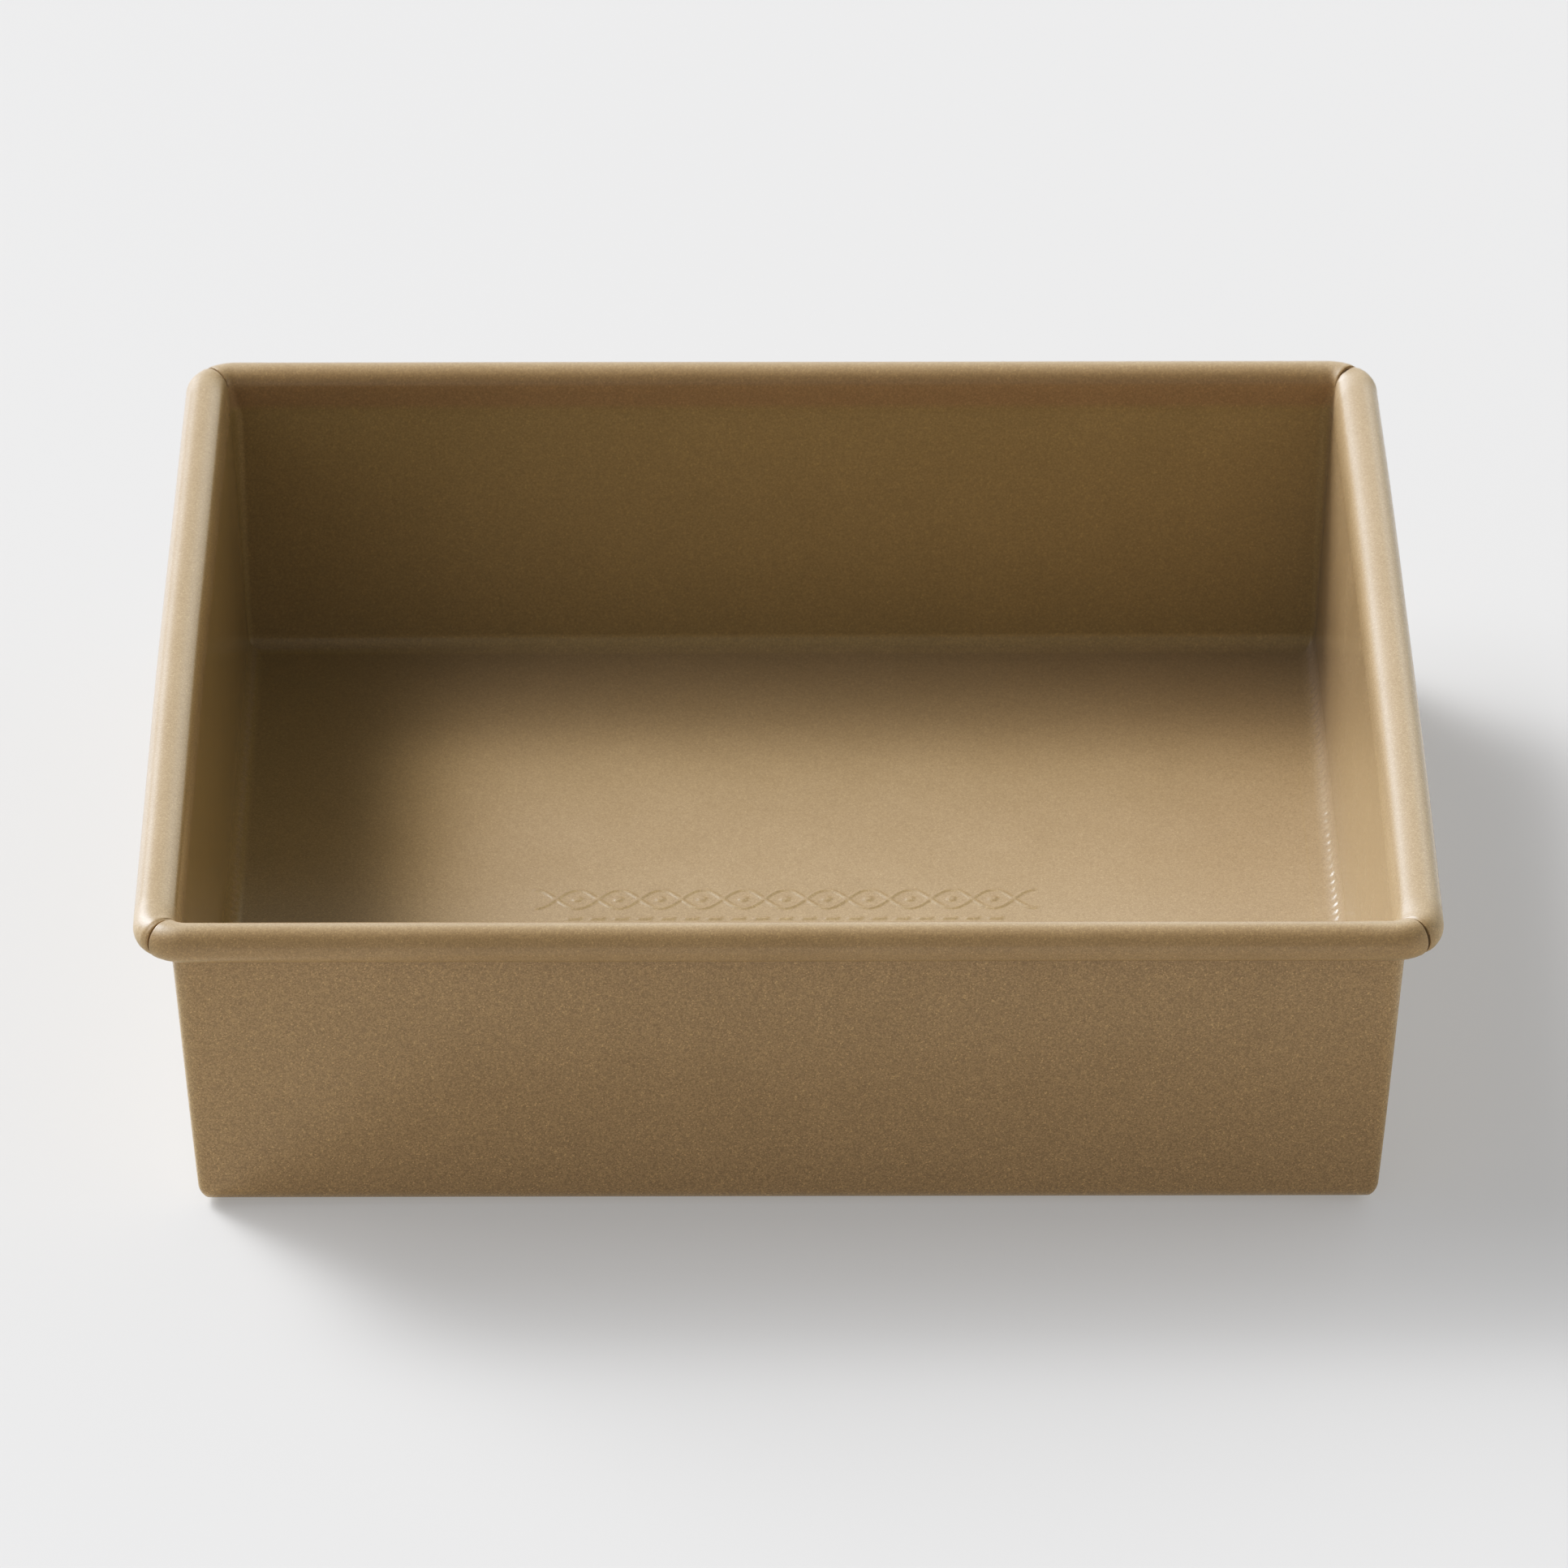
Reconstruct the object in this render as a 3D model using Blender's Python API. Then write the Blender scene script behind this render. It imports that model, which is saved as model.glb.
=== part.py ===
"""Square cake pan of folded, coated steel sheet with a wired, rolled rim.

Two pieces: the folded sheet body, and the steel wire ring that the rim is
rolled around.  Metres, +Z up, origin at the centre of the underside, front
towards -Y.  "Side" walls are left and right (X) and carry the folded corner
pleats; "end" walls are front and back (Y).  The sheet's "food" face is the
inside of the pan and the outside of the roll; its "back" face is the other.
"""
import math
from collections import namedtuple

import bmesh
import bpy

# ---------------------------------------------------------------- dimensions
RIM_WIDTH = 0.2166        # over the rolled rim, left to right
RIM_DEPTH = RIM_WIDTH     # over the rolled rim, front to back
HEIGHT = 0.0560           # underside to the top of the rim
SHEET = 0.00065           # sheet thickness
BASE_HALF_X = 0.0985      # outside of the side walls just above the bottom bend
BASE_HALF_Y = 0.1003      # outside of the end walls, same level
BOTTOM_BEND = 0.0031      # inner radius of the bend between floor and walls
CORNER_INNER = 0.0010     # inner radius of the upright corners
CORNER_FLOOR = 0.0003     # corner radius of the floor outline
ROLL_RADIUS = 0.00327     # outer radius of the rolled rim
ROLL_END = -112.0         # angle at which the roll's free edge stops, degrees
RIM_CORNER = 0.0057       # plan radius of the roll's centre line at a corner
FLARE_X = 0.1001          # side walls: inner half width where the flare begins
FLARE_DROP = 0.0085       # depth of that line under the rim top
MITRE_GAP = 0.00035       # gap between two rolls at a rim corner
MITRE_MAX_ANGLE = 5.0     # limit on half the gap's angle in plan, degrees
WIRE_RADIUS = 0.00225     # rim wire
WIRE_BUTT = 0.0006        # gap between the two ends of the wire

# Corner pleats
PLEAT_TOP = 0.0490        # height of the upper edge
PLEAT_OUT = 0.10215       # half width over the pleats at that height
PLEAT_FOOT = 0.0020       # width of a pleat at its foot
PLEAT_CLOSE = 0.012       # fraction of the flare in which the top edge steps back
PLEAT_CLEAR = 0.1         # least fraction of the flare from top edge to the next row
HEM_RATIO = 0.5           # width of the hem, per unit of the pleat's stand-out
HEM_MIN = 0.0002          # least width of the hem

# Shape across the hem, the pleat's edge on the side wall:
# (distance towards the corner in hem widths, fraction of the full stand-out)
HEM_PROFILE = ((-0.15, 0.0), (0.0, 0.35), (0.3, 0.8), (1.0, 1.0))

BEND_CENTRE_Z = SHEET + BOTTOM_BEND
ROLL_CENTRE_X = RIM_WIDTH / 2 - ROLL_RADIUS
ROLL_CENTRE_Y = RIM_DEPTH / 2 - ROLL_RADIUS
ROLL_CENTRE_Z = HEIGHT - ROLL_RADIUS

# ---------------------------------------------------------------- resolution
BEND_STEPS = 4
WALL_ROWS = 1                        # rows between bottom bend and knee
FLARE_ROWS = 1                       # rows between knee and roll
ROLL_STEPS = 13
ARC_DEGREES = (0.0, 16.0, 31.0)      # columns before the mitre, mirrored after it
WIRE_SIDES = 12
WIRE_CORNER_STEPS = 6
SHARP_ANGLE = 32                     # edges above this are shaded sharp, degrees

# One face of one wall in section, as (out, up) points from floor to free edge.
# The knee is the point where the flare begins.
Profile = namedtuple("Profile", "bend knee roll")

# One ring of points around the pan: its points on the two kinds of wall, the
# plan centre of its corner, and how far the pleat stands out.
Row = namedtuple("Row", "side_x side_z end_y end_z corner_x corner_y pleat")


def mix(start, end, fraction):
    return tuple(a + (b - a) * fraction for a, b in zip(start, end))


def on_circle(centre, radius, angle):
    return centre[0] + radius * math.cos(angle), centre[1] + radius * math.sin(angle)


# ---------------------------------------------------------------- wall section
def wall_tilt(lower, lower_radius, upper, upper_radius):
    """Outward tilt from upright of the line that touches the outer side of
    the lower circle and the inner side of the upper one."""
    dx, dz = upper[0] - lower[0], upper[1] - lower[1]
    return math.acos((lower_radius + upper_radius) / math.hypot(dx, dz)) - math.atan2(dz, dx)


def wall_profiles(roll_out, base_half, flare_half=None):
    """Food and back profiles of one wall; straight if flare_half is not given."""
    bend_centre = (base_half - SHEET - BOTTOM_BEND, BEND_CENTRE_Z)
    roll_centre = (roll_out, ROLL_CENTRE_Z)
    knee_z = HEIGHT - FLARE_DROP
    if flare_half is None:
        low_tilt = wall_tilt(bend_centre, BOTTOM_BEND, roll_centre, ROLL_RADIUS)
        high_tilt = low_tilt
        foot = on_circle(bend_centre, BOTTOM_BEND, -low_tilt)
        knee = (foot[0] + (knee_z - foot[1]) * math.tan(low_tilt), knee_z)
    else:
        knee = (flare_half, knee_z)
        low_tilt = wall_tilt(bend_centre, BOTTOM_BEND, knee, 0.0)
        high_tilt = wall_tilt(knee, 0.0, roll_centre, ROLL_RADIUS)
    # The knee moves along the sum of the two wall normals, scaled so that
    # both straight parts move by the full offset.
    normal_sum = (math.cos(low_tilt) + math.cos(high_tilt),
                  -math.sin(low_tilt) - math.sin(high_tilt))
    spread = 1.0 + math.cos(low_tilt - high_tilt)

    def profile(offset):
        bend = []
        for i in range(BEND_STEPS + 1):
            angle = -math.pi / 2 + (math.pi / 2 - low_tilt) * i / BEND_STEPS
            bend.append(on_circle(bend_centre, BOTTOM_BEND + offset, angle))
        moved_knee = tuple(k + offset * n / spread for k, n in zip(knee, normal_sum))
        roll = []
        start, end = math.pi - high_tilt, math.radians(ROLL_END)
        for i in range(ROLL_STEPS + 1):
            angle = start + (end - start) * i / ROLL_STEPS
            roll.append(on_circle(roll_centre, ROLL_RADIUS - offset, angle))
        return Profile(bend, moved_knee, roll)

    return profile(0.0), profile(SHEET)


# ---------------------------------------------------------------- rows and columns
def make_rows(side, end, back):
    """Rows of one face of the sheet, floor first.  Only the back has pleats."""
    corner = CORNER_INNER + (SHEET if back else 0.0)
    side_foot, end_foot = side.bend[-1], end.bend[-1]
    rows = []

    def add(side_point, end_point, corner_centre, pleated=False):
        pleat = 0.0
        if pleated:
            out, up = side_point
            fraction = (up - side_foot[1]) / (PLEAT_TOP - side_foot[1])
            pleat = side_foot[0] + (PLEAT_OUT - side_foot[0]) * fraction - out
        rows.append(Row(*side_point, *end_point, *corner_centre, pleat))

    # Bottom bend: the corner radius shrinks towards the floor.
    for side_point, end_point in zip(side.bend, end.bend):
        radius_x = max(CORNER_FLOOR, corner - (side_foot[0] - side_point[0]))
        radius_y = max(CORNER_FLOOR, corner - (end_foot[0] - end_point[0]))
        add(side_point, end_point, (side_point[0] - radius_x, end_point[0] - radius_y))

    # Wall up to and including the knee.
    for i in range(1, WALL_ROWS + 1):
        side_point = mix(side_foot, side.knee, i / (WALL_ROWS + 1))
        end_point = mix(end_foot, end.knee, i / (WALL_ROWS + 1))
        add(side_point, end_point, (side_point[0] - corner, end_point[0] - corner), back)
    knee_centre = (side.knee[0] - corner, end.knee[0] - corner)
    add(side.knee, end.knee, knee_centre, back)

    # Flare, as (fraction of its height, pleated).  The back has two more rows
    # for the upper edge of the pleats.
    rim_centre = (ROLL_CENTRE_X - RIM_CORNER, ROLL_CENTRE_Y - RIM_CORNER)
    stations = [(i / (FLARE_ROWS + 1), False) for i in range(1, FLARE_ROWS + 1)]
    if back:
        top = (PLEAT_TOP - side.knee[1]) / (side.roll[0][1] - side.knee[1])
        above = [s for s in stations if s[0] > top + PLEAT_CLEAR]
        stations = [(top, True), (top + PLEAT_CLOSE, False)] + above
    for fraction, pleated in stations:
        add(mix(side.knee, side.roll[0], fraction), mix(end.knee, end.roll[0], fraction),
            mix(knee_centre, rim_centre, fraction), pleated)

    for side_point, end_point in zip(side.roll, end.roll):
        add(side_point, end_point, rim_centre)
    return rows


def make_columns():
    """Columns of one quarter, as (kind, values...), from the middle of the side
    wall round the corner to the middle of the end wall."""
    return ([("side",)]
            + [("hem", *step) for step in HEM_PROFILE]
            + [("arc", angle) for angle in ARC_DEGREES]
            + [("mitre", -1), ("mitre", 1)]
            + [("arc", 90.0 - angle) for angle in reversed(ARC_DEGREES)]
            + [("end",)])


def grid_point(row, column):
    """Where a column meets a row, in the quarter with x and y positive."""
    kind, *values = column
    if kind == "side":
        return row.side_x, 0.0, row.side_z
    if kind == "end":
        return 0.0, row.end_y, row.end_z
    if kind == "hem":
        along, stand = values
        # The pleat widens by as much as it rises.
        rise = max(0.0, min(row.side_z, PLEAT_TOP) - BEND_CENTRE_Z)
        hem_y = row.corner_y - (PLEAT_FOOT + rise)
        width = max(HEM_RATIO * row.pleat, HEM_MIN)
        return row.side_x + row.pleat * stand, hem_y + width * along, row.side_z

    radius_x = row.side_x + row.pleat - row.corner_x
    radius_y = row.end_y - row.corner_y
    if kind == "mitre":
        mean_radius = 0.5 * (radius_x + radius_y)
        half = math.degrees(math.asin(min(1.0, 0.5 * MITRE_GAP / mean_radius)))
        angle = math.radians(45.0 + values[0] * min(half, MITRE_MAX_ANGLE))
    else:
        angle = math.radians(values[0])
    blend = math.sin(angle) ** 2
    return (row.corner_x + radius_x * math.cos(angle),
            row.corner_y + radius_y * math.sin(angle),
            row.side_z * (1 - blend) + row.end_z * blend)


def ring_points(row, columns):
    """All points of one row, anticlockwise from the middle of the right wall."""
    quarter = [grid_point(row, column) for column in columns]
    points = list(quarter)
    points += [(-x, y, z) for x, y, z in reversed(quarter[:-1])]
    points += [(-x, -y, z) for x, y, z in quarter[1:]]
    points += [(x, -y, z) for x, y, z in reversed(quarter[1:-1])]
    return points


def mitre_starts(columns):
    """Indices i so that points i and i + 1 of a ring bound a mitre gap."""
    first = [column[0] for column in columns].index("mitre")
    quarter = len(columns) - 1
    return [first, 2 * quarter - first - 1, 2 * quarter + first, 4 * quarter - first - 1]


# ---------------------------------------------------------------- pieces
def new_object(name, verts, faces, material, parent):
    mesh = bpy.data.meshes.new(name)
    mesh.from_pydata(verts, [], faces)
    skin = bmesh.new()
    skin.from_mesh(mesh)
    bmesh.ops.recalc_face_normals(skin, faces=skin.faces)
    skin.to_mesh(mesh)
    skin.free()
    mesh.shade_smooth()
    mesh.set_sharp_from_angle(angle=math.radians(SHARP_ANGLE))
    mesh.materials.append(material)
    obj = bpy.data.objects.new(name, mesh)
    bpy.context.scene.collection.objects.link(obj)
    obj.parent = parent


def make_body(material, parent):
    side_food, side_back = wall_profiles(ROLL_CENTRE_X, BASE_HALF_X, FLARE_X)
    end_food, end_back = wall_profiles(ROLL_CENTRE_Y, BASE_HALF_Y)
    columns = make_columns()
    verts, faces = [], []

    def add_rings(rows):
        """Adds the points of all rows; returns each ring's vertex indices."""
        rings = []
        for row in rows:
            points = ring_points(row, columns)
            rings.append(range(len(verts), len(verts) + len(points)))
            verts.extend(points)
        return rings

    food = add_rings(make_rows(side_food, end_food, False))
    back = add_rings(make_rows(side_back, end_back, True))
    count = len(food[0])
    gaps = mitre_starts(columns)

    # Both faces of the sheet, each quad wound so that its normal leaves the metal.
    for rings, flip in ((food, False), (back, True)):
        first_roll = len(rings) - 1 - ROLL_STEPS
        for k, (low, high) in enumerate(zip(rings, rings[1:])):
            for i in range(count):
                if k >= first_roll and i in gaps:
                    continue
                j = (i + 1) % count
                quad = (low[i], high[i], high[j], low[j])
                faces.append(quad[::-1] if flip else quad)

    # Free edge of the roll.
    for i in range(count):
        if i not in gaps:
            j = (i + 1) % count
            faces.append((food[-1][i], back[-1][i], back[-1][j], food[-1][j]))

    # Cut edges of the sheet in each mitre gap, and the foot of the gap.
    food_roll, back_roll = food[-1 - ROLL_STEPS:], back[-1 - ROLL_STEPS:]
    for i in gaps:
        j = i + 1
        for k in range(ROLL_STEPS):
            food_low, food_high = food_roll[k], food_roll[k + 1]
            back_low, back_high = back_roll[k], back_roll[k + 1]
            faces.append((back_low[i], back_high[i], food_high[i], food_low[i]))
            faces.append((food_low[j], food_high[j], back_high[j], back_low[j]))
        faces.append((food_roll[0][j], back_roll[0][j], back_roll[0][i], food_roll[0][i]))

    # Floor, inside and underneath.
    faces.append(tuple(food[0]))
    faces.append(tuple(reversed(back[0])))
    new_object("pan_body", verts, faces, material, parent)


def make_wire(material, parent):
    """A round wire bent to the rim's outline, its ends butted at the back."""
    # Path stations: x, y, and the outward direction in plan.
    path = [(-WIRE_BUTT / 2, ROLL_CENTRE_Y, 0.0, 1.0)]
    for sign_x, sign_y, start in ((-1, 1, 90), (-1, -1, 180), (1, -1, 270), (1, 1, 0)):
        centre = (sign_x * (ROLL_CENTRE_X - RIM_CORNER), sign_y * (ROLL_CENTRE_Y - RIM_CORNER))
        for i in range(WIRE_CORNER_STEPS + 1):
            angle = math.radians(start + 90.0 * i / WIRE_CORNER_STEPS)
            path.append((*on_circle(centre, RIM_CORNER, angle),
                         math.cos(angle), math.sin(angle)))
    path.append((WIRE_BUTT / 2, ROLL_CENTRE_Y, 0.0, 1.0))

    verts, rings = [], []
    for x, y, out_x, out_y in path:
        rings.append(range(len(verts), len(verts) + WIRE_SIDES))
        for i in range(WIRE_SIDES):
            out, up = on_circle((0.0, 0.0), WIRE_RADIUS, 2 * math.pi * (i + 0.5) / WIRE_SIDES)
            verts.append((x + out_x * out, y + out_y * out, ROLL_CENTRE_Z + up))
    faces = []
    for ring, following in zip(rings, rings[1:]):
        for i in range(WIRE_SIDES):
            j = (i + 1) % WIRE_SIDES
            faces.append((following[i], following[j], ring[j], ring[i]))
    faces.append(tuple(reversed(rings[0])))
    faces.append(tuple(rings[-1]))
    new_object("rim_wire", verts, faces, material, parent)


def make_material(name, colour, metallic, roughness):
    material = bpy.data.materials.new(name)
    material.use_nodes = True
    shader = material.node_tree.nodes["Principled BSDF"]
    shader.inputs["Base Color"].default_value = (*colour, 1.0)
    shader.inputs["Metallic"].default_value = metallic
    shader.inputs["Roughness"].default_value = roughness
    return material


for old in list(bpy.data.objects):
    bpy.data.objects.remove(old, do_unlink=True)

coating = make_material("gold_beige_coating", colour=(0.36, 0.25, 0.13),
                        metallic=0.55, roughness=0.42)
steel = make_material("plain_wire_steel", colour=(0.55, 0.55, 0.54),
                      metallic=1.0, roughness=0.35)
pan = bpy.data.objects.new("cake_pan", None)
bpy.context.scene.collection.objects.link(pan)
make_body(coating, pan)
make_wire(steel, pan)
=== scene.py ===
import math

import bpy
import bmesh
import numpy as np
from mathutils import Matrix, Vector


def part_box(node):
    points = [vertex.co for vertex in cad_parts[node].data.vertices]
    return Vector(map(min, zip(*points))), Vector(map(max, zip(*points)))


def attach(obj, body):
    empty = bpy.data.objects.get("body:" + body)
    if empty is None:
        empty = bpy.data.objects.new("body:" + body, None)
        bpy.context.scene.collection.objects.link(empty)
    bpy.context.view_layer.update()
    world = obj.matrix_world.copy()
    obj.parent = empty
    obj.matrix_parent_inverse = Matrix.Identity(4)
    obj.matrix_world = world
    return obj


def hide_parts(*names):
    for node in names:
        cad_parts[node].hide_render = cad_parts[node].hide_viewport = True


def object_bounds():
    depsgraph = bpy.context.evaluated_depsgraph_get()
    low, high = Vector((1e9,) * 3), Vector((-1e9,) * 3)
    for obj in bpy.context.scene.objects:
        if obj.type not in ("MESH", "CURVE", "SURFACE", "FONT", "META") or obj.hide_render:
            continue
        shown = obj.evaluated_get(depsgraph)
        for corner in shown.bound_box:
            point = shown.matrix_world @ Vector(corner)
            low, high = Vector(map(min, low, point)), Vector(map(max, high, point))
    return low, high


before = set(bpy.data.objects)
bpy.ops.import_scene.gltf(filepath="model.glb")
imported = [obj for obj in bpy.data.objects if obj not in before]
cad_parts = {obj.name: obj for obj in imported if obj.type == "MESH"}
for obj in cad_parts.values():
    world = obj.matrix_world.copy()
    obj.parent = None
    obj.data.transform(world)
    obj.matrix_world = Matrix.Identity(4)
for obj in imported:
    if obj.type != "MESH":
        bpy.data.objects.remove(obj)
cad_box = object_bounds()

# ------------------------------------------------------------------ frame
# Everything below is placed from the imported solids' own boxes.
body_lo, body_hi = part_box("pan_body")
wire_lo, wire_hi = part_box("rim_wire")
HX, HY, TOP = float(body_hi.x), float(body_hi.y), float(body_hi.z)
WIRE_R = float(wire_hi.z - wire_lo.z) / 2
ROLL_Z = float(wire_hi.z + wire_lo.z) / 2
ROLL_R = TOP - ROLL_Z

MM = 0.001
T = 0.65 * MM            # sheet
BEND = 3.1 * MM          # inner bend radius at the floor
BASE_X = 98.45 * MM      # outside of the walls just above the bend
BASE_Y = 100.35 * MM
R_UP = 1.0 * MM          # inner radius of the upright corners above the bend
R_GROW = 1.3 * MM        # and what it gains up to the flare
R_FLOOR = 0.3 * MM       # corner radius of the floor outline
RIM_CORNER = 5.7 * MM    # plan radius of the roll's centre line
ROLL_END = math.radians(-112.0)
FLARE_X = 100.15 * MM    # side walls flare out above this line
FLARE_DROP = 8.5 * MM
PLEAT_TOP = 49.0 * MM
PLEAT_OUT = 102.1 * MM
PLEAT_FOOT = 2.0 * MM
BOW = 0.42 * MM          # side walls stand out in the middle by this much at the rim
INSET = 0.05 * MM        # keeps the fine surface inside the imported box

ROLL_R -= INSET
ROLL_CX = HX - INSET - ROLL_R
ROLL_CY = HY - INSET - ROLL_R
ROLL_Z -= 0.03 * MM
CC = (ROLL_CX - RIM_CORNER, ROLL_CY - RIM_CORNER)   # rim corner centres


def smooth(a, b, v):
    t = np.clip((np.asarray(v, float) - a) / (b - a), 0.0, 1.0)
    return t * t * (3 - 2 * t)


# ------------------------------------------------------------------ section
def line_between(ax, az, ra, bx, bz, rb):
    dx, dz = bx - ax, bz - az
    return math.acos((ra + rb) / math.hypot(dx, dz)) - math.atan2(dz, dx)


def section(roll_c, base_half, flare_half, n_bend):
    bend = (base_half - T - BEND, T + BEND)
    roll = (roll_c, ROLL_Z)
    flare_z = TOP - FLARE_DROP
    if flare_half is None:
        low = high = line_between(*bend, BEND, *roll, ROLL_R)
        foot = (bend[0] + BEND * math.cos(low), bend[1] - BEND * math.sin(low))
        knee = (foot[0] + (flare_z - foot[1]) * math.tan(low), flare_z)
    else:
        knee = (flare_half, flare_z)
        low = line_between(*bend, BEND, *knee, 0.0)
        high = line_between(*knee, 0.0, *roll, ROLL_R)
    n1 = (math.cos(low), -math.sin(low))
    n2 = (math.cos(high), -math.sin(high))
    spread = 1.0 + n1[0] * n2[0] + n1[1] * n2[1]
    out = []
    for off in (0.0, T):
        r = BEND + off
        arc = [(bend[0] + r * math.cos(a), bend[1] + r * math.sin(a))
               for a in np.linspace(-math.pi / 2, -low, n_bend + 1)]
        k = (knee[0] + off * (n1[0] + n2[0]) / spread, knee[1] + off * (n1[1] + n2[1]) / spread)
        rr = ROLL_R - off
        top = (roll[0] - rr * n2[0], roll[1] - rr * n2[1])
        out.append({"bend": arc, "knee": k, "top": top, "start": math.pi - high, "low": low, "high": high})
    return out


N_BEND = 22
N_WALL = 9
N_ROLL = 44
X_SEC = section(ROLL_CX, BASE_X, FLARE_X, N_BEND)
Y_SEC = section(ROLL_CY, BASE_Y, None, N_BEND)

# ------------------------------------------------------------------ columns
# One quarter, from the middle of the side wall round the corner to the middle
# of the front wall; the other quarters mirror it.
PSI = (-78.0, -55.0, -30.0, 0.0, 25.0, 50.0, 72.0, 90.0)
NEAR_SLOT = (1.0, 2.2, 3.8, 6.0, 9.0, 13.0, 18.0, 24.0, 31.0, 38.0)
cols = [("side", f) for f in np.linspace(0.0, 1.0, 12)]
cols += [("hem", p) for p in PSI]
cols += [("face", f) for f in (0.2, 0.45, 0.7, 0.88)]
cols += [("arc", 0.0)] + [("arc", 45.0 - d) for d in reversed(NEAR_SLOT)]
cols += [("slot", -1.0), ("slot", 1.0)]
cols += [("arc", 45.0 + d) for d in NEAR_SLOT] + [("arc", 90.0)]
cols += [("front", f) for f in 1.0 - np.linspace(1.0, 0.0, 16)[1:]]
NQ = len(cols)
KIND = np.array([c[0] for c in cols])
PAR = np.array([float(c[1]) for c in cols])
SLOT_AT = list(KIND).index("slot")

quarter_signs = [(1, 1), (-1, 1), (-1, -1), (1, -1)]   # rear right, rear left, front left, front right
loop = []                       # (quarter, column in quarter)
for q, rev in zip(range(4), (False, True, False, True)):
    order = list(range(NQ))
    if rev:
        order = order[::-1]
    if q > 0:
        order = order[1:]
    if q == 3:
        order = order[:-1]
    loop += [(q, c) for c in order]
QI = np.array([l[0] for l in loop])
CI = np.array([l[1] for l in loop])
N = len(loop)
SX = np.array([quarter_signs[q][0] for q in QI], float)
SY = np.array([quarter_signs[q][1] for q in QI], float)
LK = KIND[CI]
LP = PAR[CI]
SLOTS = [i for i in range(N) if LK[i] == "slot" and LK[(i + 1) % N] == "slot"]
# Mitre gaps differ from corner to corner: (inside, top, outside) of the roll in mm.
GAP = np.array([(0.20, 0.84, 0.90), (0.16, 0.34, 0.42), (0.34, 0.56, 0.72), (0.14, 0.36, 0.74)])


def gap_width(quarter, alpha):
    inner, top, outer = GAP[quarter].T
    a = np.degrees(alpha)
    f = smooth(150, 95, a)
    g = smooth(85, 15, a)
    return (inner * (1 - f) + (top * (1 - g) + outer * g) * f) * MM


def column_angle(radius, alpha):
    """Angle of each column round its corner, for a row of that corner radius."""
    phi = np.where(LK == "arc", LP, 0.0)
    phi = np.where(LK == "front", 90.0, phi)
    half = np.degrees(np.arcsin(np.clip(0.5 * gap_width(QI, alpha) / radius, 0, 0.2)))
    slot = 45.0 + np.where(LK == "slot", LP, 0) * half
    phi = np.where(LK == "slot", slot, phi)
    # Columns beside the gap keep clear of its edges.
    near = (LK == "arc") & (np.abs(LP - 45.0) < 40)
    d = LP - 45.0
    pushed = 45.0 + np.sign(d) * (half + np.abs(d) * (45.0 - half) / 45.0)
    phi = np.where(near, pushed, phi)
    return np.radians(phi)


def wall_row(px, py, cx, cy, pleat=0.0):
    """A ring on a wall: px, py are the (out, up) points on side and front walls."""
    reach = PLEAT_FOOT + max(0.0, min(px[1], PLEAT_TOP) - (T + BEND))
    hem = cy - reach
    rho = max(0.5 * pleat, 0.2 * MM)
    under = min(1.0, pleat / (0.45 * MM))
    rx, ry = px[0] + pleat - cx, py[0] - cy
    phi = column_angle(max(0.5 * (rx + ry), 0.8 * MM), math.pi)
    b = np.sin(phi) ** 2
    x = cx + rx * np.cos(phi)
    y = cy + ry * np.sin(phi)
    z = px[1] * (1 - b) + py[1] * b
    psi = np.radians(LP)
    over = under * (1 - np.cos(psi)) - (1 - under) * np.abs(psi) / (math.pi / 2)
    hem_y = np.where(psi < 0, hem + rho * over, hem + rho * (1 - np.cos(psi)))
    hem_h = pleat * (0.5 + 0.5 * np.sin(psi))
    p0 = math.radians(-84.0)
    wall_end = hem + rho * (under * (1 - math.cos(p0)) - (1 - under) * abs(p0) / (math.pi / 2))
    is_side, is_hem, is_face, is_front = (LK == k for k in ("side", "hem", "face", "front"))
    x = np.where(is_side, px[0], x)
    y = np.where(is_side, wall_end * LP, y)
    x = np.where(is_hem, px[0] + hem_h, x)
    y = np.where(is_hem, hem_y, y)
    x = np.where(is_face, px[0] + pleat, x)
    y = np.where(is_face, (hem + rho) + (cy - hem - rho) * LP, y)
    z = np.where(is_side | is_hem | is_face, px[1], z)
    x = np.where(is_front, cx * (1 - LP), x)
    y = np.where(is_front, py[0], y)
    z = np.where(is_front, py[1], z)
    return np.stack([x * SX, y * SY, z], 1)


def pinch(phi_deg, alpha):
    """How far the roll is pressed in beside each mitre gap, by corner and side."""
    d = np.abs(phi_deg - 45.0)
    front_side = phi_deg > 45.0
    amount = np.array([[0.22, 0.16], [0.14, 0.12], [0.36, 0.00], [0.22, 0.06]]) * MM
    a = amount[QI, front_side.astype(int)]
    width = np.array([[7.0, 5.0], [5.0, 4.5], [6.0, 3.0], [6.0, 3.5]])[QI, front_side.astype(int)]
    on = np.isin(LK, ("arc", "slot"))
    turned = a * np.exp(-(d / width) ** 2) * on
    # The sheared edge itself is rounded over.
    turned = turned + 0.05 * MM * np.exp(-(d / 1.6) ** 2) * on
    # Wrinkles where the sheet was gathered at the corner.
    wr = np.array([[0.03, 0.015], [0.02, 0.012], [0.055, 0.01], [0.04, 0.03]])[QI, front_side.astype(int)] * MM
    f = np.array([1.1, 1.3, 0.95, 1.2])[QI]
    turned = turned + wr * np.sin(d * f + 2.0 * np.sin(alpha)) * smooth(2.0, 5.0, d) * (1 - smooth(15.0, 26.0, d)) * on
    return turned


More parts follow.
